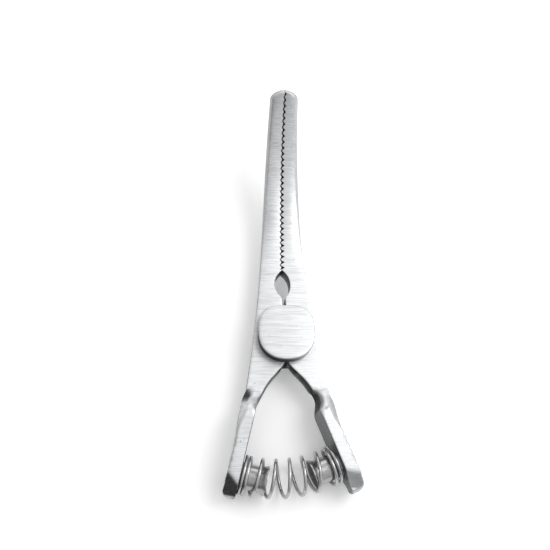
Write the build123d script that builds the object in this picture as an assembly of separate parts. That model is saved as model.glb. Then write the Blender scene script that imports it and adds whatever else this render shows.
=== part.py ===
from build123d import *
import math
import os

# Curved spring bulldog clamp: two non-crossing steel arms on a box joint, opened by squeezing two
# finger plates against a bowed coil spring.
# Frame: millimetres, origin on the pivot axis at the lower cheek's outer face, +Y towards the jaws, +X to
# the right arm, +Z up (the jaws curve upwards). Rest pose: jaws closed. Each piece is drawn about the
# arms' mid plane and lifted into the frame when it is written.

# ---- arms ----
arm_thickness = 2.7
tip_thickness = 1.75          # the jaws thin out towards their tips
tip_half_width = 2.2          # outer edge of each jaw at its tip
heel_half_width = 3.3         # outer edge where the jaw's taper ends
heel_y = 17.0
joint_half_width = 4.9        # outer edge beside the pivot
neck_half_width = 6.4         # outer edge where the arm meets its finger plate
neck_y = -8.8
edge_bevel = 0.3              # bevel along the jaws' and joint's outer edges

# ---- curved jaws ----
bend_y = 10.9                 # where the jaws start to curve up
bend_radius = 36.9            # radius of the upper faces
tooth_pitch = 1.0             # along the upper faces
tooth_count = 31
tooth_heel_gap = 1.0          # from the start of the bend to the first notch
tip_land = 0.55               # plain steel past the last notch
tooth_depth_heel = 0.7
tooth_depth_tip = 0.4
tooth_crest = 0.2             # flat left on each tooth's crest
bite_gap = 0.08               # between the closed jaws' plain ends
flank_gap = 0.05              # along the jaws, between the flanks of meshed teeth
tip_round = 1.3               # corner radius of the jaw tips, seen from above

# ---- window between the jaws ----
window_half_width = 1.3
window_top_gap = 0.4          # from the window's upper point to the first notch
window_length = 5.1
slot_half_width = 0.3

# ---- box joint ----
cheek_size = 9.1              # across the flats of the rounded square cheeks
cheek_height = 1.8            # cheek's rise above the arm's face
cheek_upper_round = 3.2
cheek_lower_round = 4.1
cheek_edge_bevel = 0.2
cheek_gap = 0.08              # between each cheek and the tongue arm
relief_margin = 0.4           # relief round the cheeks, beyond their corners
tongue_radius = 3.4
tongue_gap = 0.25             # between the tongue's round end and its pocket
pin_radius = 1.3
pin_running_gap = 0.04

# ---- crotch under the joint ----
crotch_angle = 7.7            # each arm's inner edge off the centre line, just under the joint
crotch_start = 5.35           # distance from the pivot where the arms begin to spread
crotch_mid = (2.55, -7.5)     # a point on each arm's spreading inner edge
crotch_end = (4.35, -10.4)

# ---- finger plates ----
plate_anchor = (6.4, -17.1)   # a point on each plate's inner face, seen from above
left_lean = 14.3              # degrees off the centre line
right_lean = 20.6
plate_thickness = 2.05
plate_height = 6.5
plate_reach = 8.4             # from the anchor to the rounded end
plate_end_round = 1.1         # rounding of the plate's outer end corner, seen from above
plate_edge_bevel = 0.25
groove_count = 8
groove_pitch = 1.1
groove_depth = 0.18
groove_width = 0.85
groove_end_gap = 1.9          # from the last groove to the plate's end

# ---- roots, where each arm turns from a flat bar into an upright plate ----
root_foot = 7.2               # from the anchor forward, where the ridge leaves the arm's faces
root_ridge = 4.9              # where the ridge has risen to the plate's height
root_blend = 0.8              # where the plate's full thickness begins
root_swell = (7.25, -11.55)   # a point on each root's outer edge, seen from above
root_spread = 0.9             # how far the shoulders' slopes run on past the plate's two faces
root_hollow = 0.3             # share of the rise that is reached halfway from foot to ridge
foot_edges = (0.95, 1.45)     # the ridge's two edges at its foot, out from the plate's inner face
ridge_edges = (0.3, 1.4)      # and where it has risen
shoulder_height = 1.15        # half height that the slopes beside the ridge fall to

# ---- spring ----
wire = 0.55
wire_sides = 8                # flats round the wire
coil_radius = 2.71            # to the wire's centre
spring_arc_radius = 24.6      # bow of the spring's centre line
turns = 8.5
closed_pitch = 1.1            # first and last turn
seat_gap = 0.1                # between the end turns and the plates

# ---- spring cups ----
cup_radius = 1.95
cup_rim_radius = 2.05
cup_wall = 0.35
cup_length = 4.1
cup_floor = 0.8
cup_flare = 0.7               # length of the flared mouth
tail_radius = 0.9

# ---- worked out from the sizes above ----
half_t = arm_thickness / 2
first_notch = tooth_heel_gap / bend_radius
notch_step = tooth_pitch / bend_radius
tip_angle = first_notch + notch_step * (tooth_count - 1) + tip_land / bend_radius
bend_centre_z = half_t + bend_radius
window_top = bend_y + tooth_heel_gap - window_top_gap
window_bottom = window_top - window_length
cheek_half = cheek_size / 2
cheek_corner = (cheek_half - cheek_upper_round) * math.sqrt(2) + cheek_upper_round
pocket_radius = tongue_radius + tongue_gap
joint_top = half_t + cheek_height
plate_half = plate_height / 2


def on_bend(radius, angle):
    """Point (y, z) of the jaws' side view at an angle along the bend."""
    return bend_y + radius * math.sin(angle), bend_centre_z - radius * math.cos(angle)


def side_band():
    """Side view of an arm: flat through the joint, then curving up and thinning to the tip."""
    lower_tip, upper_tip = on_bend(bend_radius + tip_thickness, tip_angle), on_bend(bend_radius, tip_angle)
    back = -neck_half_width * 6
    outline = Polyline((bend_y, half_t), (back, half_t), (back, -half_t), (bend_y, -half_t))
    outline += TangentArc((bend_y, -half_t), lower_tip, tangent=(1, 0))
    outline += Line(lower_tip, upper_tip)
    outline += ThreePointArc(upper_tip, on_bend(bend_radius, tip_angle / 2), (bend_y, half_t))
    width = neck_half_width * 4
    return Plane(origin=(-width, 0, 0), x_dir=(0, 1, 0), z_dir=(1, 0, 0)) * extrude(make_face(outline), 2 * width)


def plate_plane(lean):
    """Plane of a right-hand plate's inner face: x runs down the plate, y up, z outwards."""
    tilt = math.radians(lean)
    along = (math.sin(tilt), -math.cos(tilt), 0)
    outward = (math.cos(tilt), math.sin(tilt), 0)
    return Plane(origin=(*plate_anchor, 0), x_dir=along, z_dir=outward)


def plate_corner(lean, reach, depth):
    """Plan point of a right-hand plate, a given reach down it and depth out from its inner face."""
    spot = plate_plane(lean).from_local_coords(Vector(reach, 0, depth))
    return spot.X, spot.Y


def engagement(depth):
    """How far the crests of meshed teeth of a depth overlap, half of it on each side of the centre line."""
    lower_pitch = tooth_pitch * (bend_radius + arm_thickness) / bend_radius
    return 2 * depth * (1 - (lower_pitch / 2 + flank_gap) / (tooth_pitch - tooth_crest))


def arm_plan(lean):
    """Plan outline of a right-hand arm with its plate, the plate's end left long."""
    tip_y = on_bend(bend_radius + tip_thickness, tip_angle)[0]
    spread = math.radians(crotch_angle)
    under_joint = (crotch_start * math.sin(spread), -crotch_start * math.cos(spread))
    neck = (neck_half_width, neck_y)
    outer_join = plate_corner(lean, -root_blend, plate_thickness)
    outline = Polyline(
        (0, window_top),
        (-engagement(tooth_depth_heel) / 2, window_top),
        (-engagement(tooth_depth_tip) / 2, tip_y + 1),
        (tip_half_width, tip_y + 1),
        (tip_half_width, tip_y),
        (heel_half_width, heel_y),
    )
    outline += ThreePointArc((heel_half_width, heel_y), (joint_half_width, 1.0), neck)
    outline += ThreePointArc(neck, root_swell, outer_join)
    outline += Polyline(
        outer_join,
        plate_corner(lean, plate_reach + 1, plate_thickness),
        plate_corner(lean, plate_reach + 1, 0),
        plate_corner(lean, -root_ridge, 0),
        crotch_end,
    )
    outline += ThreePointArc(crotch_end, crotch_mid, under_joint)
    outline += Polyline(under_joint, (0, 0), (0, window_top))
    return make_face(outline)


def upright(face, half_height):
    """A plan face made solid, equally far above and below the arms' mid plane."""
    return Pos(0, 0, -half_height) * extrude(face, 2 * half_height)


def on_upper_face(point):
    """Whether a point of an arm lies on its upper face."""
    if point.Y > bend_y:
        return math.hypot(point.Y - bend_y, bend_centre_z - point.Z) < bend_radius + 0.01
    return point.Z > half_t - 0.01


def runs_lengthwise(edge):
    """Whether an edge keeps to the arm's upper or lower face, and so isn't an upright one."""
    return on_upper_face(edge.position_at(0)) == on_upper_face(edge.position_at(1))


def arm_slab(lean):
    """Jaw, joint half and lower arm of a right-hand arm, down to the root of its plate."""
    tall = on_bend(bend_radius, tip_angle)[1] + 2
    beyond_root = plate_plane(lean) * Pos(-root_foot, 0, 0) * Box(90, 90, 90, align=(Align.MIN, Align.CENTER, Align.CENTER))
    slab = (upright(arm_plan(lean), tall) & side_band()) - beyond_root
    tip_face = slab.faces().sort_by(Axis.Y)[-1]
    corner = tip_face.edges().sort_by(Axis.X)[-1]
    slab = fillet(corner, tip_round)
    outer = slab.faces().filter_by(lambda face: face.normal_at().X > 0.5 and face.center().Y > neck_y)
    outer += [slab.faces().sort_by(Axis.Y)[-1]]
    return chamfer(outer.edges().filter_by(runs_lengthwise), edge_bevel)


def root_section(reach, edges, shoulder, crest):
    """Cross-section of a plate's root: a ridge between two shoulders, alike above and below."""
    inner, outer = edges
    corners = [(-root_spread, shoulder), (inner, crest), (outer, crest), (plate_thickness + root_spread, shoulder)]
    below = [(depth, -height) for depth, height in reversed(corners)]
    place = Plane(origin=(reach, 0, 0), x_dir=(0, 0, 1), z_dir=(1, 0, 0))
    return place * make_face(Polyline(*corners, *below, corners[0]))


def plate_root(lean):
    """Right-hand root: from the arm's flat section, through a narrow ridge, to the plate's upright one."""
    halfway_edges = [(low + high) / 2 for low, high in zip(foot_edges, ridge_edges)]
    halfway_crest = half_t + (plate_half - half_t) * root_hollow
    flat = root_section(-root_foot, foot_edges, half_t, half_t)
    halfway = root_section(-(root_foot + root_ridge) / 2, halfway_edges, (half_t + shoulder_height) / 2, halfway_crest)
    ridge = root_section(-root_ridge, ridge_edges, shoulder_height, plate_half)
    full = root_section(-root_blend, (0, plate_thickness), plate_half, plate_half)
    body = loft([flat, halfway, ridge]) + loft([ridge, full], ruled=True)
    return plate_plane(lean) * body & upright(arm_plan(lean), plate_height)


def finger_plate(lean):
    """Right-hand finger plate, with a round end and grip grooves across its outer face."""
    straight = plate_reach - plate_half
    outline = Polyline((straight, -plate_half), (-root_blend, -plate_half), (-root_blend, plate_half), (straight, plate_half))
    outline += ThreePointArc((straight, plate_half), (plate_reach, 0), (straight, -plate_half))
    body = extrude(make_face(outline), plate_thickness)
    rims = body.edges().filter_by(lambda e: e.center().X > -root_blend + 0.1 and abs(e.tangent_at(0.5).Z) < 0.5)
    body = chamfer(rims, plate_edge_bevel)
    groove_radius = (groove_width**2 / 4 + groove_depth**2) / (2 * groove_depth)
    last = plate_reach - groove_end_gap
    for number in range(groove_count):
        spot = (last - number * groove_pitch, 0, plate_thickness + groove_radius - groove_depth)
        body -= Pos(*spot) * Rot(90, 0, 0) * Cylinder(groove_radius, plate_height + 1)
    return plate_plane(lean) * (body - end_corner())


def end_corner():
    """What is ground off the outer corner of a plate's end."""
    start, stop = plate_reach - plate_end_round, plate_thickness - plate_end_round
    middle = plate_end_round * (1 - math.sqrt(0.5)) - 0.05
    outline = ThreePointArc(
        (start, plate_thickness), (plate_reach - middle, plate_thickness - middle), (plate_reach + 0.1, stop)
    )
    outline += Polyline((plate_reach + 0.1, stop), (plate_reach + 2, stop), (plate_reach + 2, plate_thickness + 1))
    outline += Polyline((plate_reach + 2, plate_thickness + 1), (start, plate_thickness + 1), (start, plate_thickness))
    return Pos(0, plate_height, 0) * extrude(Plane.XZ * make_face(outline), 2 * plate_height)


def window_tool():
    """Half of the pointed window between the jaws, with the slot down to the joint."""
    middle_y = (window_top + window_bottom) / 2
    side = ThreePointArc((0, window_top), (window_half_width, middle_y), (slot_half_width, window_bottom))
    back = -tooth_depth_heel
    rest = Polyline((slot_half_width, window_bottom), (slot_half_width, 0), (back, 0), (back, window_top), (0, window_top))
    return upright(make_face(side + rest), arm_thickness)


def notch_tool(angle, depth):
    """One V notch across a right-hand jaw, square to the bend."""
    slope = (tooth_pitch - tooth_crest) / (2 * depth)
    root = depth - engagement(depth) / 2
    mouth = -tooth_pitch
    half_mouth = slope * (root - mouth)
    outline = make_face(Polyline((root, 0), (mouth, half_mouth), (mouth, -half_mouth), (root, 0)))
    start = on_bend(bend_radius - 0.5, angle)
    across = Plane(origin=(0, *start), x_dir=(1, 0, 0), z_dir=(0, math.sin(angle), -math.cos(angle)))
    return across * extrude(outline, arm_thickness + 1)


def cut_teeth(arm, offset):
    """Cut the notches of a right-hand jaw; offset shifts them by a share of the pitch."""
    notches = []
    for number in range(tooth_count + 1):
        share = number / tooth_count
        depth = tooth_depth_heel + (tooth_depth_tip - tooth_depth_heel) * share
        notches.append(notch_tool(first_notch + notch_step * (number + offset), depth))
    arm -= notches
    last = first_notch + notch_step * (tooth_count + offset)
    start = on_bend(bend_radius - 0.5, last)
    along = Plane(origin=(0, *start), x_dir=(1, 0, 0), z_dir=(0, math.sin(last), -math.cos(last)))
    land = Box(2, 3, arm_thickness + 1, align=(Align.MAX, Align.MAX, Align.MIN))
    return arm - along * Pos(bite_gap / 2, 0, 0) * land


def arm_blank(lean, offset):
    """A right-hand arm without its joint details: slab, root, plate, window and teeth."""
    blank = arm_slab(lean) + plate_root(lean) + finger_plate(lean)
    blank -= window_tool()
    return cut_teeth(blank, offset)


def cheek():
    """Upper cheek of the fork: a rounded square, rounder on the plates' side."""
    outline = Rectangle(cheek_size, cheek_size)
    outline = fillet(outline.vertices().group_by(Axis.Y)[-1], cheek_upper_round)
    outline = fillet(outline.vertices().group_by(Axis.Y)[0], cheek_lower_round)
    block = Pos(0, 0, half_t) * extrude(outline, cheek_height)
    return chamfer(block.faces().sort_by(Axis.Z)[-1].edges(), cheek_edge_bevel)


def cup_place(lean, station):
    """Frame of a right-hand spring cup: on the plate's inner face, z towards the spring."""
    spot = plate_plane(lean).from_local_coords(Vector(station, 0, 0))
    return Plane(origin=spot, x_dir=(0, 0, 1), z_dir=-plate_plane(lean).z_dir)


def spring_arc_centre():
    """Where the planes of the spring's two end turns cross, in plan."""
    offset = wire / 2 + seat_gap
    right, left = math.radians(right_lean), math.radians(left_lean)
    reach_right = plate_anchor[0] * math.cos(right) + plate_anchor[1] * math.sin(right) - offset
    reach_left = plate_anchor[0] * math.cos(left) + plate_anchor[1] * math.sin(left) - offset
    spread = math.sin(right + left)
    x = (reach_right * math.sin(left) - reach_left * math.sin(right)) / spread
    y = (reach_right * math.cos(left) + reach_left * math.cos(right)) / spread
    return x, y


def cup_station(lean, side):
    """How far down its plate a spring cup sits: where the spring's bow meets the plate."""
    x, y = spring_arc_centre()
    tilt = math.radians(lean)
    start = (x * side - plate_anchor[0]) * math.sin(tilt) - (y - plate_anchor[1]) * math.cos(tilt)
    return start + spring_arc_radius


def spring_cup(lean, side):
    """A right-hand spring cup: flared sleeve with a floor, and a tail riveted flush through the plate."""
    straight = cup_length - cup_flare
    outline = Polyline(
        (0, -plate_thickness),
        (tail_radius, -plate_thickness),
        (tail_radius, 0),
        (cup_radius, 0),
        (cup_radius, straight),
        (cup_rim_radius, cup_length),
        (cup_rim_radius - cup_wall, cup_length),
        (cup_radius - cup_wall, straight),
        (cup_radius - cup_wall, cup_floor),
        (0, cup_floor),
        (0, -plate_thickness),
    )
    body = revolve(Plane.XZ * make_face(outline), Axis.Z)
    return cup_place(lean, cup_station(lean, side)) * body


def tail_hole(lean, side):
    """Hole in a right-hand plate for its cup's tail."""
    place = cup_place(lean, cup_station(lean, side))
    return place * Cylinder(tail_radius, 2 * plate_thickness + 1)


def left(shape):
    """The same shape on the left-hand side."""
    return mirror(shape, about=Plane.YZ)


def bore(radius):
    """Bore for the pivot pin."""
    return Cylinder(radius, 2 * joint_top + 1)


def make_right_arm():
    """Right arm: the fork, with a pocket for the tongue between its two cheeks."""
    arm = arm_blank(right_lean, 0)
    arm -= Cylinder(pocket_radius, arm_thickness)
    upper = cheek()
    arm = arm + upper + mirror(upper, about=Plane.XY)
    return arm - bore(pin_radius) - tail_hole(right_lean, 1)


def make_left_arm():
    """Left arm: the tongue, thinned by the cheeks' gap wherever the cheeks lie over it."""
    arm = left(arm_blank(left_lean, -0.5))
    arm += Cylinder(tongue_radius, arm_thickness)
    relief = Cylinder(cheek_corner + relief_margin, cheek_gap, align=(Align.CENTER, Align.CENTER, Align.MAX))
    arm -= Pos(0, 0, half_t) * relief
    arm -= mirror(Pos(0, 0, half_t) * relief, about=Plane.XY)
    return arm - bore(pin_radius + pin_running_gap) - left(tail_hole(left_lean, -1))


def make_pin():
    """Pivot pin, flush with both cheeks."""
    return Cylinder(pin_radius, 2 * joint_top)


def spring_length():
    """Length of the spring's bowed centre line between its end turns' planes."""
    return spring_arc_radius * math.radians(left_lean + right_lean)


def spring_point(turn):
    """Point on the wire's centre line after a number of turns from the left plate."""
    open_turns = turns - 2
    open_pitch = (spring_length() - 2 * closed_pitch) / open_turns
    if turn < 1:
        travel = closed_pitch * turn
    elif turn < turns - 1:
        travel = closed_pitch + open_pitch * (turn - 1)
    else:
        travel = spring_length() - closed_pitch * (turns - turn)
    bow = travel / spring_arc_radius - math.radians(left_lean)
    x, y = spring_arc_centre()
    out = spring_arc_radius + coil_radius * math.cos(2 * math.pi * turn)
    lift = coil_radius * math.sin(2 * math.pi * turn)
    return Vector(x + out * math.sin(bow), y - out * math.cos(bow), lift)


def spring_direction(turn):
    """Unit direction of the wire at a turn."""
    step = 0.002
    return (spring_point(turn + step) - spring_point(turn - step)).normalized()


def biarc(start, start_way, end, end_way):
    """Two arcs that join two points and match the direction at each."""
    gap = end - start
    both = start_way + end_way
    bend = 2 * (1 - start_way.dot(end_way))
    reach = (-gap.dot(both) + math.sqrt(gap.dot(both) ** 2 + bend * gap.dot(gap))) / bend
    middle = (start + start_way * reach + end - end_way * reach) * 0.5
    chord = (middle - start).normalized()
    middle_way = chord * (2 * chord.dot(start_way)) - start_way
    return [TangentArc(start, middle, tangent=start_way), TangentArc(middle, end, tangent=middle_way)]


def make_spring():
    """Bowed compression spring: one wire, swept along a biarc for every quarter turn, its ends straight."""
    quarters = int(turns * 4)
    first_end, last_end = spring_point(0), spring_point(turns)
    first_way, last_way = spring_direction(0), spring_direction(turns)
    arcs = [Line(first_end - first_way * wire, first_end)]
    for number in range(quarters):
        first, second = number / 4, (number + 1) / 4
        arcs += biarc(spring_point(first), spring_direction(first), spring_point(second), spring_direction(second))
    arcs.append(Line(last_end, last_end + last_way * wire))
    path = Wire([arc.edge() for arc in arcs])
    section = Plane(origin=path.position_at(0), z_dir=first_way) * RegularPolygon(wire / 2, wire_sides)
    return sweep(section, path=path)


def spring_gap():
    """Least gap between the wire and itself, measured on points along its centre line."""
    count = int(turns * 48)
    points = [spring_point(turns * number / count) for number in range(count + 1)]
    least = min(
        (points[i] - points[j]).length for i in range(count + 1) for j in range(i + 24, count + 1)
    )
    return least - wire


pieces = {
    "right_arm": make_right_arm,
    "left_arm": make_left_arm,
    "pivot_pin": make_pin,
    "spring": make_spring,
    "right_spring_cup": lambda: spring_cup(right_lean, 1),
    "left_spring_cup": lambda: left(spring_cup(left_lean, -1)),
}

os.makedirs("parts", exist_ok=True)
print(f"least gap of the spring to itself: {spring_gap():.2f} mm")
for name, make in pieces.items():
    export_step(Pos(0, 0, joint_top) * make(), f"parts/{name}.step")
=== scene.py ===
import bpy
import numpy as np
from mathutils import Matrix, Vector


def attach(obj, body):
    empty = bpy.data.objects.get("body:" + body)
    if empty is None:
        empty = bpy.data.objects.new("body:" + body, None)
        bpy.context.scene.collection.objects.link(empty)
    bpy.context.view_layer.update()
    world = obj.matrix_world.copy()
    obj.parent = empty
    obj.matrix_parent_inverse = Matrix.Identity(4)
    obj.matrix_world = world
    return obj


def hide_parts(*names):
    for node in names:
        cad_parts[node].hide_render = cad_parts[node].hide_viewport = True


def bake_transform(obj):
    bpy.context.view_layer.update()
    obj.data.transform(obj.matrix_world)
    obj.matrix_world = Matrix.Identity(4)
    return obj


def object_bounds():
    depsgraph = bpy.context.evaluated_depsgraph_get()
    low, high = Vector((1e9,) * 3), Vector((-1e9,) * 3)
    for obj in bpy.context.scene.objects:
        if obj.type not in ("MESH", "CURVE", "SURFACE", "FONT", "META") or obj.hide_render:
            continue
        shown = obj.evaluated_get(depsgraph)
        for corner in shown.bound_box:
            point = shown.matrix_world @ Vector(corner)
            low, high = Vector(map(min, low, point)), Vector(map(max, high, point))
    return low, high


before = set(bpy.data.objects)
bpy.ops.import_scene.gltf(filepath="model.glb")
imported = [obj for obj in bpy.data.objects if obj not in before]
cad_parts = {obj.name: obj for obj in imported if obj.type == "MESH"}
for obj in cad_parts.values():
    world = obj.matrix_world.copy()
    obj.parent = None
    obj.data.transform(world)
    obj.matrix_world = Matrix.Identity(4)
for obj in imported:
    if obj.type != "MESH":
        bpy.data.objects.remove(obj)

cad_box = [list(corner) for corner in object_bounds()]

# ---- Arms ----
# The two arms are forged and milled stainless steel, riveted together at a box joint. Faces are brushed
# across, the jaws' edges are tumbled round, and the finger plates are scored and worn from use.

# Sizes are in mm. Each arm is worked out as if it were the right-hand one, and its side mirrors it.
ARM_TOP, ARM_THICKNESS, TIP_THICKNESS = 4.5, 2.7, 1.75
BEND_Y, BEND_RADIUS, BEND_ARC = 10.9, 36.9, 31.42
TIP_ROUND = 1.5
TOOTH_PITCH, NOTCH_HALF, FIRST_NOTCH, LAST_NOTCH = 1.0, 0.4, 0.55, 31.2
HAIRLINE, SLOT_HALF, NOTCH_WEB = 0.02, 0.3, 0.3
WINDOW_Y, WINDOW_RADIUS, WINDOW_HALF, HEEL_Y, SLOT_Y = 8.84, 3.18, 1.31, 11.5, 4.6
PLATE_ANCHOR, PLATE_START, PLATE_REACH, PLATE_RISE, END_ROUND = (6.4, -17.1), 27.9, 8.4, 1.9, 1.1
SCORE_PITCH, SCORE_HALF, SCORE_DEPTH, RAGGED_DEPTH = 1.1, 0.42, 0.12, 0.05
FACET_REACH = 5.15

# Drift of the parting line and half width of the crotch, by distance from the pivot.
PARTING = [(0, 0), (4.5, -0.05), (6.4, -0.12), (9.0, -0.24), (11.5, -0.2), (13, -0.17), (43, -0.17)]
CROTCH = [(0, 0.0), (5.3, 0.717), (6.3, 1.5), (7.5, 2.55), (9.0, 3.6), (10.4, 4.35)]

# Height of the ridge that climbs from the flat arm to the plate, by reach along the plate.
RIDGE = [(-9, 0), (-8, 0.03), (-7.2, 0.3), (-6.4, 0.85), (-5.4, 1.55), (-4.7, 1.85),
         (-4, 1.9), (-3, 1.9), (12, 1.9)]

# What differs from arm to arm. lean is the plate's angle in degrees and width the arm's half width, by
# distance from the pivot. inner and outer are the plate's two edges, crest_in and crest_out the lines that
# its root's flanks fall from, and slope_in, slope_out, scoop_shade and flank_shade how steep those flanks
# are and how dark the painted shade on them is, all by reach. The end_ values are how dark the painted shade
# on the plate's worn end is and how early and how skewed that end is, the crotch_ values the round and the
# painted shade in the crotch, and tilt the fall of the jaw's face. The notch values are the teeth's crest and
# depth, at heel and tip, and their phase.
right_sizes = {
    "side": 1, "lean": 20.6, "slope_in": 2.4, "tilt": 0.9,
    "width": [(-10.4, 6.75), (-8.8, 6.4), (-5, 5.77), (-1, 5.17), (1, 4.9), (5, 4.38), (9, 3.9),
              (13, 3.5), (17, 3.22), (24, 2.92), (32, 2.5), (39, 2.17), (44, 1.93)],
    "inner": [(-11, -0.3), (-10.3, -0.23), (-8.6, 0.15), (-7, 0.42), (-5.8, 0.2), (-4.9, 0.0),
              (-3.5, 0), (9, 0)],
    "outer": [(-11, 3.6), (-10.5, 3.53), (-7.77, 2.92), (-6.5, 2.72), (-5.4, 2.74), (-4.2, 2.62),
              (-2.2, 2.2), (-0.6, 2.04), (1, 2.05), (9, 2.05)],
    "crest_in": [(-9, 1.3), (-7.6, 1.3), (-6.6, 1.2), (-6, 1.0), (-5.3, 0.5), (-4.8, 0.1),
                 (-4, -0.1), (12, -0.3)],
    "crest_out": [(-9, 1.6), (-7.2, 1.7), (-6, 1.65), (-4.4, 1.45), (-2.2, 1.6), (-0.5, 2.0),
                  (0.8, 2.3), (12, 2.5)],
    "slope_out": [(-9, 0), (-7.2, 0), (-6.2, 0.6), (-4.9, 1.0), (-2, 1.1), (0, 0.8), (12, 0.0)],
    "flank_shade": [(-9, 0), (-7.4, 0), (-6.4, 0.35), (-4, 0.45), (-1, 0.35), (1, 0), (12, 0)],
    "scoop_shade": 1.85, "end_shade": 0.3, "end_early": 0.15, "end_skew": -0.6,
    "crotch_round": 0.42, "crotch_shade": 1.9,
    "notch_crest": (-0.23, 0.03), "notch_depth": (0.68, 0.28), "notch_phase": 0.0,
}
left_sizes = {
    "side": -1, "lean": 14.3, "slope_in": 1.6, "tilt": 0.0,
    "width": [(-10.4, 6.88), (-8.8, 6.53), (-5, 5.9), (-1, 5.3), (1, 5.03), (5, 4.52), (9, 4.09),
              (13, 3.73), (17, 3.43), (24, 3.07), (32, 2.74), (39, 2.43), (44, 2.18)],
    "inner": [(-12, -2), (-10.25, -1.36), (-8.6, -0.85), (-7, -0.33), (-5.8, -0.05), (-4.9, 0.0),
              (-3.5, 0), (9, 0)],
    "outer": [(-12, 2.8), (-10.8, 2.52), (-8.04, 2.2), (-6.6, 2.42), (-5, 2.4), (-3.7, 2.38),
              (-2.1, 2.2), (-0.5, 2.05), (1, 2.03), (9, 2.03)],
    "crest_in": [(-9, -1.4), (-7.2, -0.6), (-6.2, 0.15), (-5.5, 0.4), (-4.8, 0.1), (-4, -0.1),
                 (12, -0.3)],
    "crest_out": [(-9, 1.6), (-8, 1.35), (-7.2, 1.15), (-6.4, 1.25), (-5, 1.45), (-4, 1.6),
                  (-2.2, 1.9), (-0.8, 2.3), (12, 2.5)],
    "slope_out": [(-9, 0), (-8.2, 0), (-7.4, 2.0), (-6.4, 2.0), (-4.9, 1.4), (-2, 1.2), (0, 0.8),
                  (12, 0.0)],
    "flank_shade": [(-9, 0), (-8.2, 0.6), (-7.6, 1.6), (-6.6, 1.6), (-5.8, 0.45), (-2, 0.3),
                    (0, 0), (12, 0)],
    "scoop_shade": 0.25, "end_shade": 1.95, "end_early": 0.0, "end_skew": 0.8,
    "crotch_round": 0.38, "crotch_shade": 1.0,
    "notch_crest": (0.1, -0.06), "notch_depth": (0.26, 0.16), "notch_phase": 0.5,
}


def cubic(at, points):
    """Smooth curve through (place, value) points: between two neighbours a cubic, whose slope at each point
    is that of the line that joins the points on either side of it."""
    places, values = np.asarray(points, float).T
    slopes = np.gradient(values, places)
    k = np.clip(np.searchsorted(places, at) - 1, 0, len(places) - 2)
    span = places[k + 1] - places[k]
    u = np.clip((at - places[k]) / span, 0.0, 1.0)
    ends = values[k] * (1 + 2 * u) * (1 - u) ** 2 + values[k + 1] * u * u * (3 - 2 * u)
    return ends + span * (slopes[k] * u * (1 - u) ** 2 - slopes[k + 1] * u * u * (1 - u))


def step(x, low, high):
    """Smooth step from 0 at low to 1 at high: three times the square less twice the cube."""
    u = np.clip((x - low) / (high - low), 0.0, 1.0)
    return u * u * (3 - 2 * u)


def ripple(*waves):
    """Mean of sine waves, each a phase array, that stands for uneven hand finishing; between -1 and 1."""
    return sum(np.sin(wave) for wave in waves) / len(waves)


def stations():
    """Distance along the arm at each cross-section, in mm: negative up the bend to the tip, 0 where the bend
    starts, then down the flat arm and the finger plate; close together at the teeth and at both ends."""
    tip = -BEND_ARC + TIP_ROUND * (1 - np.cos(np.linspace(0.28, np.pi / 2, 11)))
    notch = np.array([-0.4, -0.36, -0.2, -0.04, 0.04, 0.2, 0.36, 0.4, 0.5])
    bend = (np.arange(0.5, 31.4, TOOTH_PITCH / 2)[:, None] + notch[None, :]).ravel()
    bend = bend[(bend > 0.05) & (bend < BEND_ARC - TIP_ROUND)]
    flat = np.arange(-0.6, 27.0, 0.3)
    end_turn = np.sin(np.linspace(-0.05, 1.5, 26))
    end = PLATE_START + FACET_REACH + (PLATE_REACH - FACET_REACH) * end_turn
    plate = np.arange(27.0, end[0], 0.1)
    return np.unique(np.round(np.concatenate([tip, -bend, flat, plate, end]), 4))


def inner_edge(y, arm):
    """Distance of an arm's inner edge from the middle plane, at a developed distance y from the pivot, and
    the depth of the tooth notches. The edge is the line of the teeth's crests along the jaw, an arc for
    half of the pointed window, a hairline along the slot, and a curve that widens into the crotch. A notch
    is a triangle of NOTCH_HALF on either side of its middle."""
    heel, tip = 12, 42
    share = np.clip((y - heel) / (tip - heel), 0, 1)
    crest = arm["notch_crest"][0] + (arm["notch_crest"][1] - arm["notch_crest"][0]) * share
    depth = arm["notch_depth"][0] + (arm["notch_depth"][1] - arm["notch_depth"][0]) * share
    past_bend = y - BEND_Y
    off_notch = np.abs((past_bend - arm["notch_phase"] + TOOTH_PITCH / 2) % TOOTH_PITCH - TOOTH_PITCH / 2)
    notch = depth * np.clip(1 - off_notch / NOTCH_HALF, 0, 1)
    notch = notch * (past_bend > FIRST_NOTCH) * (past_bend < LAST_NOTCH) * (y > HEEL_Y)
    circle = np.sqrt(np.clip(WINDOW_RADIUS**2 - (y - WINDOW_Y) ** 2, 0, None))
    window = np.clip(circle - (WINDOW_RADIUS - WINDOW_HALF), np.where(y > 9, 0.0, SLOT_HALF), None)
    edge = np.where(y > HEEL_Y, crest, window)
    edge = np.where(y < SLOT_Y, HAIRLINE, edge)
    edge = np.where(y < 0, np.maximum(cubic(-y, CROTCH), HAIRLINE), edge)
    return edge + np.where(y > SLOT_Y, arm["side"] * cubic(y, PARTING), 0), notch


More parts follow.
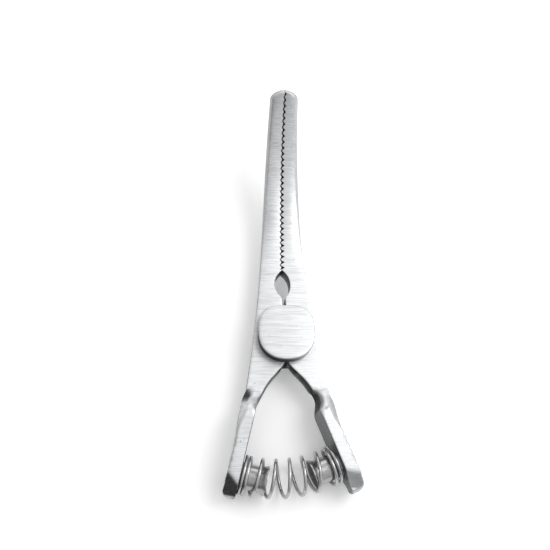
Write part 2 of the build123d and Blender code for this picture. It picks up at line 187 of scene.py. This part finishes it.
def arm_edges(q, arm):
    """Plan points of an arm's inner and outer edges at each station: on the jaw and flat arm straight
    across, on the plate square to it, and eased from one to the other. The jaw narrows to its tip along a
    quarter circle. The plate's outer edge has score lines with a parabola for a section, a ripple and a
    circular end. With them come the notches' depth, the reach along the plate and the developed y."""
    y = BEND_Y - q
    reach = q - PLATE_START
    tip_gap = BEND_ARC + q
    short_of_round = 1 - np.clip(tip_gap, 0, TIP_ROUND) / TIP_ROUND
    narrow = np.sqrt(np.clip(1 - short_of_round**2, 0, 1))
    true_y = np.where(q < 0, BEND_Y + BEND_RADIUS * np.sin(np.clip(-q, 0, None) / BEND_RADIUS), y)
    x_out = cubic(true_y, arm["width"]) * np.where(tip_gap < TIP_ROUND, narrow, 1)
    parting, notch = inner_edge(y, arm)
    flat_in = np.stack([np.minimum(parting, x_out - 0.25), y], -1)
    flat_out = np.stack([x_out, y], -1)

    groove = np.abs((reach - 6.5 + SCORE_PITCH / 2) % SCORE_PITCH - SCORE_PITCH / 2)
    worn = 0.75 + 0.35 * ripple(reach * 1.9, reach * 5.3 + 1)
    score = SCORE_DEPTH * worn * np.clip(1 - (groove / SCORE_HALF) ** 2, 0, 1)
    score = score * (reach > -1.7) * (reach < 7.0)
    ragged = RAGGED_DEPTH * ripple(reach * 7.7, reach * 13.1 + 2, reach * 21.0) * step(reach, -6, -4)
    into_round = np.clip(reach - (PLATE_REACH - END_ROUND), 0, END_ROUND - 0.02)
    rounded = END_ROUND - np.sqrt(END_ROUND**2 - into_round**2)
    depth_in = cubic(reach, arm["inner"]) + 0.3 * (np.clip(reach - 8.0, 0, 1) / 0.4) ** 2
    depth_out = cubic(reach, arm["outer"]) - score - rounded + ragged
    tilt = np.radians(arm["lean"])
    across = np.array([np.cos(tilt), np.sin(tilt)])
    down = np.array([np.sin(tilt), -np.cos(tilt)])
    plate_in = np.array(PLATE_ANCHOR) + reach[:, None] * down + depth_in[:, None] * across
    plate_out = np.array(PLATE_ANCHOR) + reach[:, None] * down + depth_out[:, None] * across

    ease = step(reach, -9.0, -7.0)[:, None]
    inner_xy = flat_in * (1 - ease) + plate_in * ease
    outer_xy = flat_out * (1 - ease) + plate_out * ease
    return inner_xy, outer_xy, notch, reach, y


def ridge(reach, depth, arm):
    """Rise of the arm's faces at the plate's root, in mm above the flat arm: a ridge climbs out of the arm to
    the plate's height and widens to its full thickness, and the faces fall away on either side of it, from
    edges that a hyperbola softens. With it comes the painted shade on those flanks, dark where their faces fall
    away."""
    crest = cubic(reach, RIDGE)
    slope_in = arm["slope_in"] * step(reach, -8.3, -7.3)
    slope_out = cubic(reach, arm["slope_out"])
    soft = 0.2
    past_in = 0.5 * (cubic(reach, arm["crest_in"]) - depth)
    past_in = past_in + np.sqrt(past_in**2 + soft**2 / 4) - 0.02
    past_out = 0.5 * (depth - cubic(reach, arm["crest_out"]))
    past_out = past_out + np.sqrt(past_out**2 + soft**2 / 4) - 0.02
    rise = crest - slope_in * past_in - slope_out * past_out
    scoop = step(slope_in * past_in, 0.22, 0.7) * arm["scoop_shade"]
    flank = step(slope_out * past_out, 0.2, 0.7) * np.clip(cubic(reach, arm["flank_shade"]), 0, 2)
    rise = np.clip(rise, -1.25, np.minimum(crest, PLATE_RISE)) * step(reach, -8.6, -7.4)
    return rise, np.clip(scoop + flank, 0, 2) * step(reach, -8.4, -7.6)


def column(values):
    """One value for each station as a column, which spreads round that station's ring."""
    return values[:, None]


def around(top, outer, bottom, inner):
    """Values round each ring: across the top face, down the outer wall, back under it, up the inner wall."""
    return np.concatenate([top, outer, bottom[:, ::-1], inner], axis=1)


def arm_surface(arm):
    """Closed skin of one arm as a grid of rings, and its painted shade and worn marks at each point. A ring is
    the cross-section at a station: a top and a bottom face, crowned by a parabola where the jaws are tumbled,
    joined to two walls by quarter-round corners. Tooth notches are cut into the faces' inner edges, fade by a
    cube towards the outer ones, and leave a web half way down the inner wall. A straight facet and a steeper
    wall take off the plate's worn end. Past the bend's start each ring turns about the bend's centre."""
    q = stations()
    inner_xy, outer_xy, notch, reach, y = arm_edges(q, arm)
    width = np.linalg.norm(outer_xy - inner_xy, axis=1)
    angle = np.clip(-q, 0, None) / BEND_RADIUS
    top_y = np.where(q < 0, BEND_Y + BEND_RADIUS * np.sin(angle), 0)
    top_z = np.where(q < 0, ARM_TOP + BEND_RADIUS * (1 - np.cos(angle)), ARM_TOP)
    shrink = (TIP_THICKNESS - ARM_THICKNESS) / (1 - np.cos(BEND_ARC / BEND_RADIUS))
    thickness = column(ARM_THICKNESS + shrink * (1 - np.cos(angle)))

    # Round of each corner: larger where the jaws are tumbled, on the plate and in the crotch.
    on_jaw = step(-q, -4.0, 16.0)
    on_plate = step(reach, -5.5, -3.0)
    in_crotch = step(reach, -12.5, -9.8) * (1 - step(reach, -6.6, -5.6))
    w = column(width)
    ri = column(0.04 + 0.10 * on_plate + 0.03 * on_jaw + arm["crotch_round"] * in_crotch)
    ro = column(np.maximum(0.1 + 0.45 * on_jaw**1.5, 0.24 * on_plate))

    # Places across each face, from the inner edge to the outer one, with the notches cut in.
    quarter = np.linspace(0, np.pi / 2, 6)
    face = np.linspace(0, 1, 15)[1:-1]
    wall = np.linspace(0, 1, 10)[1:-1]
    near, far = ri * (1 - np.sin(quarter[::-1])), w - ro * (1 - np.sin(quarter))
    across = np.concatenate([near, ri + face * (w - ri - ro), far], axis=1)
    cut = np.minimum(column(notch), w - NOTCH_WEB)
    web = cut * np.maximum(step(wall, 0.5, 0.85), step(1 - wall, 0.5, 0.85))
    outward = np.clip(across - ri, 0, None) / np.maximum(w - ro, NOTCH_WEB)
    across = across + cut * np.clip(1 - outward, 0, 1) ** 3
    corner_in, corner_out = ri * (1 - np.cos(quarter[::-1])), ro * (1 - np.cos(quarter))
    corner = np.concatenate([corner_in, 0 * face + 0 * w, corner_out], axis=1)

    # How far each face rises above the flat arm or falls below it.
    depth = across + column(cubic(reach, arm["inner"]))
    rise, flank = ridge(column(reach), depth, arm)
    share = across / w
    crown = (2 * share - 1) ** 2 + 1.3 * np.clip(1.6 * share - 0.6, 0, 1) ** 3 + arm["tilt"] * share
    bow = column(0.14 * on_jaw) * crown
    worn_end = column(reach) + arm["end_early"] + arm["end_skew"] * (np.clip(depth, 0, 2) - 1)
    facet = np.interp(worn_end, [5.2, 5.6, 5.85, 6.1, 8.0], [0, 0.04, 0.16, 0.34, 1.85])
    end_wall = column(np.interp(reach, [7.9, 8.15, 8.33, 8.4], [0, 0.25, 0.7, 1.2]))
    at_tip = np.clip(1 - (BEND_ARC + q) / 0.35, 0, 1)
    tip_drop = 0.12 * (1 - np.sqrt(1 - at_tip**2 * 0.98))
    tongue_relief = 0.05 * (arm["side"] < 0) * step(5.6 - np.abs(y), 0, 0.4)
    fall = rise - bow - corner - (facet + end_wall) - column(tip_drop + tongue_relief)
    high = np.maximum(fall, -thickness / 2 + 0.02)
    low = np.minimum(-thickness - fall, -thickness / 2 - 0.02)

    # Points in space: the two faces and the two walls, turned up along the bend.
    wall_out = high[:, -1:] * (1 - wall) + low[:, -1:] * wall
    wall_in = low[:, :1] * (1 - wall) + high[:, :1] * wall
    along = around(across, w + 0 * wall, across, web + 0 * wall)
    up = around(high, wall_out, low, wall_in)
    toward = (outer_xy - inner_xy) / w
    x = column(inner_xy[:, 0]) + along * column(toward[:, 0])
    flat_y = column(inner_xy[:, 1]) + along * column(toward[:, 1])
    bent_y = column(top_y) - up * column(np.sin(angle))
    yy = np.where(column(q) < 0, bent_y, flat_y)
    zz = column(top_z) + up * column(np.cos(angle))

    # Walls: the outer one is a dark satin, partly painted shade, the inner one darker still with painted shade,
    # and both reach round their corners.
    satin, dark = 0.55, 1.0
    rim = np.zeros((1, across.shape[1]))
    rim[:, :3], rim[:, -3:] = dark, satin
    walls = around(rim, satin + 0 * wall[None, :], rim, dark + 0 * wall[None, :])

    # Worn marks and painted shade, both dark and pitted: painted shade on the worn end, the root's flanks and
    # the left arm's outer wall at its neck; worn marks along the scored edge.
    end_painted_shade = step(facet, 0.05, 0.3) * (1 - 0.8 * step(end_wall, 0.1, 0.4))
    end_painted_shade = end_painted_shade * arm["end_shade"] * column(step(reach, 4, 5))
    uneven = (0.3 + 0.25 * ripple(reach * 2.3, reach * 6.1)) * step(reach, -6, -5)
    edge_wear = step(across, w - 0.55, w - 0.1) * column(uneven)
    neck = column(1.3 * (arm["side"] < 0) * step(q, 13, 17) * (1 - step(reach, -6.5, -5.5)))
    worn_and_shaded = np.maximum(np.maximum(end_painted_shade, edge_wear), flank)
    worn_and_shaded_out = 0 * wall_out + np.maximum(worn_and_shaded[:, -1:], neck)
    worn_and_shaded = around(worn_and_shaded, worn_and_shaded_out, worn_and_shaded, 0 * wall_in + worn_and_shaded[:, :1])

    # Painted shade, from dark to black: down the inner wall, along the bite and its notches, in the window,
    # joint and crotch, and on the left arm's plate.
    rim_in = 1 - step(across - across[:, :1], 0.5 * ri, 1.2 * ri)
    down_wall = 0.55 + 0.45 * step(wall, 0.15, 0.5) + 0 * wall_in
    inner_side = around(rim_in, 0 * wall_out, rim_in, down_wall)
    bite_shade = 1.2 * step(y, 10.9, 11.6) * (1 - step(y, 40, 42))
    notch_shade = 2 * np.clip(notch / 0.12, 0, 1)
    window_shade = 1.4 * step(y, 6, 7) * (y < 11.6)
    joint_shade = 2 * step(-y, 4.5, 5.2) * (1 - step(-y, 5.9, 6.5))
    crotch_shade = arm["crotch_shade"] * in_crotch
    plate_shade = 1.4 * on_plate * (arm["side"] < 0)
    crevice_shade = bite_shade + crotch_shade + joint_shade + notch_shade + window_shade + plate_shade
    crevice_shade = inner_side * column(np.clip(crevice_shade, 0, 2))
    return np.stack([x * arm["side"], yy, zz], -1), np.maximum(walls, np.maximum(worn_and_shaded, crevice_shade))


def skin(name, grid, flip, body, shade=None):
    """Mesh piece from rings of points in mm: quads from ring to ring, and one flat face over each end. flip
    turns the faces over, so that they point outwards whichever way the rings run. shade goes on the points
    as a point attribute of painted shade and worn marks: 0 for a brushed face, 1 for a dark satin wall that
    is partly painted shade, and on to 2 for painted black shade."""
    rings, points = grid.shape[:2]
    index = np.arange(rings * points).reshape(rings, points)
    a, b = index[:-1], index[1:]
    quads = np.stack([a, np.roll(a, -1, axis=1), np.roll(b, -1, axis=1), b], -1).reshape(-1, 4)
    faces = [tuple(quad) for quad in (quads[:, ::-1] if flip else quads).tolist()]
    first, last = index[0].tolist(), index[-1].tolist()
    faces += [tuple(first if flip else first[::-1]), tuple(last[::-1] if flip else last)]
    mesh = bpy.data.meshes.new(name)
    mesh.from_pydata((grid.reshape(-1, 3) / 1000).tolist(), [], faces)
    mesh.shade_smooth()
    mesh.set_sharp_from_angle(angle=np.radians(38))
    if shade is not None:
        layer = mesh.attributes.new("painted_shade_and_wear", "FLOAT", "POINT")
        values = np.array(np.broadcast_to(shade, (rings, points)), dtype=np.float32)
        layer.data.foreach_set("value", values.ravel())
    piece = bpy.data.objects.new(name, mesh)
    bpy.context.scene.collection.objects.link(piece)
    if body:
        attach(piece, body)
    return piece


def noise(nodes, links, vector, scale, stretch, detail, roughness=0.55):
    """Noise over Object coordinates, stretched along each axis by stretch; gives its value output."""
    mapping = nodes.new("ShaderNodeMapping")
    mapping.inputs["Scale"].default_value = stretch
    links.new(vector, mapping.inputs["Vector"])
    grain = nodes.new("ShaderNodeTexNoise")
    grain.inputs["Scale"].default_value = scale
    grain.inputs["Detail"].default_value = detail
    grain.inputs["Roughness"].default_value = roughness
    links.new(mapping.outputs["Vector"], grain.inputs["Vector"])
    return grain.outputs["Fac"]


def ramp(nodes, links, source, stops):
    """Colour ramp from a value, with (place, grey or colour) stops; gives its colour output."""
    node = nodes.new("ShaderNodeValToRGB")
    links.new(source, node.inputs["Fac"])
    elements = node.color_ramp.elements
    while len(elements) < len(stops):
        elements.new(0.5)
    for element, (place, tint) in zip(elements, stops):
        element.position = place
        element.color = (*tint, 1) if hasattr(tint, "__len__") else (tint, tint, tint, 1)
    return node.outputs["Color"]


def blended(nodes, links, factor, first, second):
    """Mix of two colours by a factor, which is a number or a value output; gives the mixed colour."""
    mix = nodes.new("ShaderNodeMix")
    mix.data_type = "RGBA"
    if hasattr(factor, "is_linked"):
        links.new(factor, mix.inputs["Factor"])
    else:
        mix.inputs["Factor"].default_value = factor
    links.new(first, mix.inputs["A"])
    links.new(second, mix.inputs["B"])
    return mix.outputs["Result"]


def darker(tint, share):
    """A tint at a share of its brightness, and never over 1."""
    return tuple(min(1.0, value * share) for value in tint)


def worn_and_shaded_steel(nodes, links, steel, place, tint, colour, roughness):
    """Scratches and specks over brushed steel, then, where the painted-shade attribute says, dark pitted satin
    for worn marks and painted shade up to 1, and from 1 to 2 painted black shade, which is no metal. Gives
    the colour and the roughness that come of it."""
    painted_shade_and_wear = nodes.new("ShaderNodeAttribute")
    painted_shade_and_wear.attribute_name = "painted_shade_and_wear"
    pits = noise(nodes, links, place, 3500.0, (1.0, 1.0, 1.0), 3.0, 0.6)
    pitted = ramp(nodes, links, pits, [(0.3, darker(tint, 0.2)), (0.42, darker(tint, 0.34)),
                                       (0.7, darker(tint, 0.42))])
    scratches = noise(nodes, links, place, 520.0, (0.35, 12.0, 12.0), 2.0)
    scratched = ramp(nodes, links, scratches, [(0.58, 0.0), (0.7, 0.38)])
    colour = blended(nodes, links, scratched, colour, pitted)
    specks = noise(nodes, links, place, 1800.0, (1.0, 1.0, 1.0), 2.0)
    specked = ramp(nodes, links, specks, [(0.24, 0.7), (0.3, 0.0)])
    colour = blended(nodes, links, specked, colour, pitted)
    colour = blended(nodes, links, painted_shade_and_wear.outputs["Fac"], colour, pitted)
    # From 1 to 2 the colour goes to black and stops being metal: painted black shade in crevices, walls and on
    # the plate's end.
    painted_black = nodes.new("ShaderNodeMapRange")
    painted_black.inputs["From Min"].default_value = 1.0
    painted_black.inputs["From Max"].default_value = 2.0
    links.new(painted_shade_and_wear.outputs["Fac"], painted_black.inputs["Value"])
    black = ramp(nodes, links, pits, [(0.3, 0.015), (0.7, 0.05)])
    colour = blended(nodes, links, painted_black.outputs["Result"], colour, black)
    bare = nodes.new("ShaderNodeMath")
    bare.operation = "SUBTRACT"
    bare.inputs[0].default_value = 1.0
    links.new(painted_black.outputs["Result"], bare.inputs[1])
    links.new(bare.outputs["Value"], steel.inputs["Metallic"])
    steel.inputs["Specular IOR Level"].default_value = 0.05
    satin = ramp(nodes, links, pits, [(0.3, 0.6), (0.7, 0.45)])
    return colour, blended(nodes, links, painted_shade_and_wear.outputs["Fac"], roughness, satin)


def brushed_steel(name, tint, rough, line_scale=(0.3, 8.0, 8.0), worn=False, relief=0.25):
    """Stainless steel with fine brushed lines, slight clouding, and on request scored and pitted worn marks
    together with painted shade and painted black.
    """
    material = bpy.data.materials.new(name)
    material.use_nodes = True
    nodes, links = material.node_tree.nodes, material.node_tree.links
    steel = nodes["Principled BSDF"]
    steel.inputs["Metallic"].default_value = 1.0
    place = nodes.new("ShaderNodeTexCoord").outputs["Object"]
    lines = noise(nodes, links, place, 800.0, line_scale, 3.0)
    clouds = noise(nodes, links, place, 150.0, (1.0, 1.0, 1.0), 5.0)
    low, high = darker(tint, 0.74), darker(tint, 1.06)
    lined = ramp(nodes, links, lines, [(0.36, low), (0.6, high)])
    clouded = ramp(nodes, links, clouds, [(0.3, low), (0.7, high)])
    colour = blended(nodes, links, 0.45, lined, clouded)
    roughness = ramp(nodes, links, lines, [(0.3, rough - 0.06), (0.7, rough + 0.08)])
    if worn:
        colour, roughness = worn_and_shaded_steel(nodes, links, steel, place, tint, colour, roughness)
    links.new(colour, steel.inputs["Base Color"])
    links.new(roughness, steel.inputs["Roughness"])
    bump = nodes.new("ShaderNodeBump")
    bump.inputs["Strength"].default_value = relief
    bump.inputs["Distance"].default_value = 0.00002
    links.new(lines, bump.inputs["Height"])
    links.new(bump.outputs["Normal"], steel.inputs["Normal"])
    return material


arm_steel = brushed_steel("brushed_arm_steel", (0.66, 0.67, 0.68), 0.4, worn=True)
right_grid, right_shade = arm_surface(right_sizes)
left_grid, left_shade = arm_surface(left_sizes)
right_skin = skin("right_arm_forging", right_grid, True, "right_side", right_shade)
left_skin = skin("left_arm_forging", left_grid, False, "left_side", left_shade)
for piece in (right_skin, left_skin):
    piece.data.materials.append(arm_steel)
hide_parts("right_arm")
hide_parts("left_arm")

# ---- Cheeks ----
# The right arm's fork: a rounded-square cheek above and below the joint, in one with the arm, its face
# ground flat and its edge barely broken.
MIDDLE_Z = 3.15
CHEEK_HALF, CHEEK_RISE, CHEEK_EDGE = 4.55, 1.8, 0.22
JAW_CORNER, PLATE_CORNER, SQUARENESS = 3.2, 4.1, 4.0


def cheek_surface(up):
    """Cheek as rings of points: a square with circular corners, shrunk ring by ring, from under its foot up
    the wall, over a small quarter-round edge and in across the face. The square's straight sides come from
    a hyperbolic tangent of the turn. up is 1 for the upper cheek and -1 for the lower. With it comes the
    painted shade on the wall: darker low down, lighter to the right, and darkest towards the lower left,
    where it turns to the plates."""
    turn = np.linspace(0, 2 * np.pi, 161)[:-1]
    corner = np.where(np.sin(turn) > 0, JAW_CORNER, PLATE_CORNER)
    x = (CHEEK_HALF - corner) * np.tanh(SQUARENESS * np.cos(turn)) + corner * np.cos(turn)
    y = (CHEEK_HALF - corner) * np.tanh(SQUARENESS * np.sin(turn)) + corner * np.sin(turn)
    quarter = np.linspace(0, np.pi / 2, 7)
    inset = np.concatenate([[0.0, 0.0, 0.0], CHEEK_EDGE * (1 - np.cos(quarter)), [0.6, 1.2, 2.4, 3.6, 4.3]])
    edge_height = CHEEK_RISE - CHEEK_EDGE + CHEEK_EDGE * np.sin(quarter)
    height = np.concatenate([[-0.03, 0.6, 1.2], edge_height, [CHEEK_RISE] * 5])
    scale = column(1 - inset / CHEEK_HALF)
    z = MIDDLE_Z + up * (ARM_THICKNESS / 2 + height[:, None] + 0 * x)
    wall = column(np.interp(height, [1.2, CHEEK_RISE], [0.9, 0])) * (1 - 0.3 * step(x, 0.5, 3.0))
    shaded = 1.1 * column(height < 1.65) * step(-0.6 * x - 0.8 * y, 1.8, 3.8)
    return np.stack([scale * x, scale * y, z], -1), wall + shaded


cheek_steel = brushed_steel("brushed_cheek_steel", (0.66, 0.67, 0.68), 0.38, worn=True)
for name, up in (("upper_cheek", 1), ("lower_cheek", -1)):
    cheek_grid, cheek_shade = cheek_surface(up)
    cheek = skin(name, cheek_grid, up < 0, "right_side", cheek_shade)
    cheek.data.materials.append(cheek_steel)
    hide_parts("right_arm")

# ---- Pivot pin ----
# A short round pin of the same steel, pressed in the cheeks and ground flush, so its ends don't show.
PIN_PROFILE = np.array([(0.9, 0.05), (1.25, 0.05), (1.3, 0.1), (1.3, 6.2), (1.25, 6.25), (0.9, 6.25)])


def spun(profile, count):
    """Profile of (radius, height) points spun about the pivot's axis, as rings of count points."""
    turn = np.linspace(0, 2 * np.pi, count + 1)[:-1]
    radius, height = profile[:, :1], profile[:, 1:]
    return np.stack([radius * np.cos(turn), radius * np.sin(turn), height + 0 * turn], -1)


pin_steel = brushed_steel("ground_pin_steel", (0.63, 0.64, 0.65), 0.4)
pin = skin("pivot_rivet", spun(PIN_PROFILE, 48), False, "right_side")
pin.data.materials.append(pin_steel)
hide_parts("pivot_pin")

# ---- Spring cups ----
# Turned steel sleeves, flared at the mouth, each riveted through its finger plate to keep the spring in
# place; the rivet's head shows at the bottom of the bore.
def cup_surface(arm, reach, length):
    """Sleeve as rings: a profile of (radius, height) points spun about an axis square to the finger plate,
    from under its foot up the outside, over the flared lip and down the bore to the rivet's domed head. With
    it comes the bore's painted shade, 1 past the lip's crown and 0 outside."""
    lip = length - 0.75
    outside = [
        (0.5, -0.12), (1.86, -0.12), (1.95, 0.0), (1.95, 0.08), (1.93, 0.5), (1.93, 1.4),
        (1.93, lip - 0.5), (1.96, lip - 0.1), (2.06, lip + 0.15), (2.2, lip + 0.4),
        (2.29, length - 0.16), (2.31, length - 0.08), (2.29, length - 0.02), (2.25, length),
        (2.18, length), (2.13, length - 0.03),
    ]
    inside = [
        (2.02, length - 0.2), (1.85, lip + 0.2), (1.68, lip - 0.05), (1.6, lip - 0.4), (1.58, lip - 1.2),
        (1.58, 1.2), (1.56, 0.9), (1.45, 0.8), (1.06, 0.8), (1.04, 0.84), (1.0, 1.15), (0.85, 1.4),
        (0.6, 1.55), (0.3, 1.62), (0.08, 1.63),
    ]
    rings = spun(np.array(outside + inside), 72)
    tilt = np.radians(arm["lean"])
    down = np.array([np.sin(tilt), -np.cos(tilt)])
    inward = np.array([-np.cos(tilt), -np.sin(tilt)])
    plan = np.array(PLATE_ANCHOR) + reach * down + rings[..., 2:] * inward + rings[..., :1] * down
    bore = np.repeat([0.0, 1.0], [len(outside), len(inside)])
    return np.stack([plan[..., 0] * arm["side"], plan[..., 1], MIDDLE_Z + rings[..., 1]], -1), column(bore)


# The cups' steel is tinted darker than the arms': painted shade for the shaded floor that they reflect.
cup_steel = brushed_steel(
    "turned_cup_steel", (0.43, 0.43, 0.43), 0.26, (0.6, 2.0, 2.0), worn=True, relief=0.1
)
right_cup_grid, right_bore = cup_surface(right_sizes, 3.5, 4.5)
left_cup_grid, left_bore = cup_surface(left_sizes, 4.75, 4.1)
right_cup = skin("right_cup_sleeve", right_cup_grid, False, "right_side", right_bore)
left_cup = skin("left_cup_sleeve", left_cup_grid, True, "left_side", left_bore)
for cup in (right_cup, left_cup):
    cup.data.materials.append(cup_steel)
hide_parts("right_spring_cup")
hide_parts("left_spring_cup")

# ---- Spring ----
# One length of drawn wire coiled into a compression spring, bowed between the finger plates, its end
# turns closed against them.
WIRE, COIL_RADIUS = 0.55, 2.74
BOW_RADIUS, BOW_CENTRE = 20.58, (-1.83, -1.816)

# Angle along the bow, in degrees, after each half turn of wire, from the left plate to the right.
ADVANCE = [-15.16, -14.84, -13.72, -12.87, -10.1, -7.1, -3.9, -0.7, 2.75,
           5.8, 9.15, 12.0, 15.15, 19.2, 22.3, 23.6, 24.5, 25.6]


def spring_surface():
    """Wire as rings: the centre line winds left-handed about an arc that bows between the plates, its
    advance read from a smooth curve of bow angle against half turns, and each ring is a circle square to it."""
    half_turns = np.arange(len(ADVANCE))
    t = np.linspace(0, 17, 17 * 22 + 1)
    bow = np.radians(cubic(t, list(zip(half_turns, ADVANCE))))
    out = BOW_RADIUS + COIL_RADIUS * np.cos(np.pi * t)
    x = BOW_CENTRE[0] + out * np.sin(bow)
    y = BOW_CENTRE[1] - out * np.cos(bow)
    centre = np.stack([x, y, MIDDLE_Z + COIL_RADIUS * np.sin(np.pi * t)], -1)
    along = np.gradient(centre, axis=0)
    along /= np.linalg.norm(along, axis=1, keepdims=True)
    axis = np.stack([np.cos(bow), np.sin(bow), 0 * bow], -1)
    first = axis - along * (axis * along).sum(1, keepdims=True)
    first /= np.linalg.norm(first, axis=1, keepdims=True)
    second = np.cross(along, first)
    turn = np.linspace(0, 2 * np.pi, 15)[:-1]
    ring = np.cos(turn)[None, :, None] * first[:, None] + np.sin(turn)[None, :, None] * second[:, None]
    return centre[:, None] + WIRE / 2 * ring, centre


spring_grid, spring_line = spring_surface()
spring = skin("coil_spring", spring_grid, False, None)
# The wire's steel is tinted darker: painted shade for the dark surroundings its edges reflect.
wire_steel = brushed_steel("drawn_wire_steel", (0.5, 0.5, 0.51), 0.28, (0.4, 0.4, 0.4), relief=0.03)
spring.data.materials.append(wire_steel)
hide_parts("spring")
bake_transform(spring)

# ---- Floor ----
# A plain white table top. It glows a little to the camera and in reflections, so that it looks white there
# without more light on the steel.
FLOOR_HALF, FLOOR_GLOW = 1.5, 0.14

table_z = cad_box[0][2]
floor_mesh = bpy.data.meshes.new("table_top")
floor_mesh.from_pydata(
    [(-FLOOR_HALF, -FLOOR_HALF, table_z), (FLOOR_HALF, -FLOOR_HALF, table_z),
     (FLOOR_HALF, FLOOR_HALF, table_z), (-FLOOR_HALF, FLOOR_HALF, table_z)],
    [], [(0, 1, 2, 3)],
)
table_top = bpy.data.objects.new("table_top", floor_mesh)
bpy.context.scene.collection.objects.link(table_top)
white = bpy.data.materials.new("white_table")
white.use_nodes = True
nodes, links = white.node_tree.nodes, white.node_tree.links
paint = nodes["Principled BSDF"]
paint.inputs["Base Color"].default_value = (0.93, 0.93, 0.93, 1)
paint.inputs["Roughness"].default_value = 0.8
paint.inputs["Specular IOR Level"].default_value = 0.1
path = nodes.new("ShaderNodeLightPath")
seen = path.outputs["Is Camera Ray"]
for ray in ("Is Glossy Ray", "Is Transmission Ray"):
    either = nodes.new("ShaderNodeMath")
    either.operation = "MAXIMUM"
    links.new(seen, either.inputs[0])
    links.new(path.outputs[ray], either.inputs[1])
    seen = either.outputs["Value"]
glow = nodes.new("ShaderNodeMath")
glow.operation = "MULTIPLY"
glow.inputs[1].default_value = FLOOR_GLOW
links.new(seen, glow.inputs[0])
paint.inputs["Emission Color"].default_value = (1, 1, 1, 1)
links.new(glow.outputs["Value"], paint.inputs["Emission Strength"])
table_top.data.materials.append(white)

# ---- Light ----
# A pale room, brighter above and to the right than low in front, with one large soft box on the right and
# a dimmer one behind.
BRIGHT_WAY = (0.45, 0.5, 0.74)
ROOM_GREYS = [(0.1, 0.206), (0.25, 0.326), (0.35, 0.67), (0.46, 0.86), (0.72, 0.86), (0.86, 1.0),
              (0.97, 0.75)]

world = bpy.data.worlds.new("pale_room")
bpy.context.scene.world = world
world.use_nodes = True
nodes, links = world.node_tree.nodes, world.node_tree.links
toward = nodes.new("ShaderNodeVectorMath")
toward.operation = "DOT_PRODUCT"
toward.inputs[1].default_value = BRIGHT_WAY
links.new(nodes.new("ShaderNodeTexCoord").outputs["Generated"], toward.inputs[0])
share = nodes.new("ShaderNodeMapRange")
share.inputs["From Min"].default_value = -0.6
share.inputs["From Max"].default_value = 1.0
links.new(toward.outputs["Value"], share.inputs["Value"])
room = ramp(nodes, links, share.outputs["Result"], ROOM_GREYS)
links.new(room, nodes["Background"].inputs["Color"])
nodes["Background"].inputs["Strength"].default_value = 0.98


def soft_box(name, place, size, watts):
    """Square area lamp at a place in metres, facing the joint."""
    lamp = bpy.data.lights.new(name, "AREA")
    lamp.size = size
    lamp.energy = watts
    box = bpy.data.objects.new(name, lamp)
    bpy.context.scene.collection.objects.link(box)
    box.location = place
    joint = Vector((0, 0.005, 0))
    box.rotation_euler = (joint - Vector(place)).to_track_quat("-Z", "Y").to_euler()


soft_box("key_box", (0.228, 0.105, 0.37), 0.24, 0.72)
soft_box("back_box", (0.04, 0.42, 0.19), 0.25, 0.22)

# ---- Camera ----
# It stands over the finger plates, 0.11 m up, and looks down along the jaws. Its axes are square unit
# vectors, worked out from the way that it looks and from a rough up.
CAMERA_PLACE = Vector((-0.0130, -0.0324, 0.10795))
LOOK, ROUGH_UP = Vector((0.1028, 0.3813, -0.9187)), Vector((-0.0100, 0.9240, 0.3824))

camera = bpy.data.cameras.new("camera")
camera.sensor_width = 36.0
camera.lens = 43.65
camera.clip_start = 0.005
viewer = bpy.data.objects.new("camera", camera)
bpy.context.scene.collection.objects.link(viewer)
forward = LOOK.normalized()
rightward = forward.cross(ROUGH_UP).normalized()
upward = rightward.cross(forward)
turned = Matrix((rightward, upward, -forward)).transposed()
viewer.matrix_world = Matrix.Translation(CAMERA_PLACE) @ turned.to_4x4()
bpy.context.scene.camera = viewer
bpy.context.scene.view_settings.view_transform = "Standard"
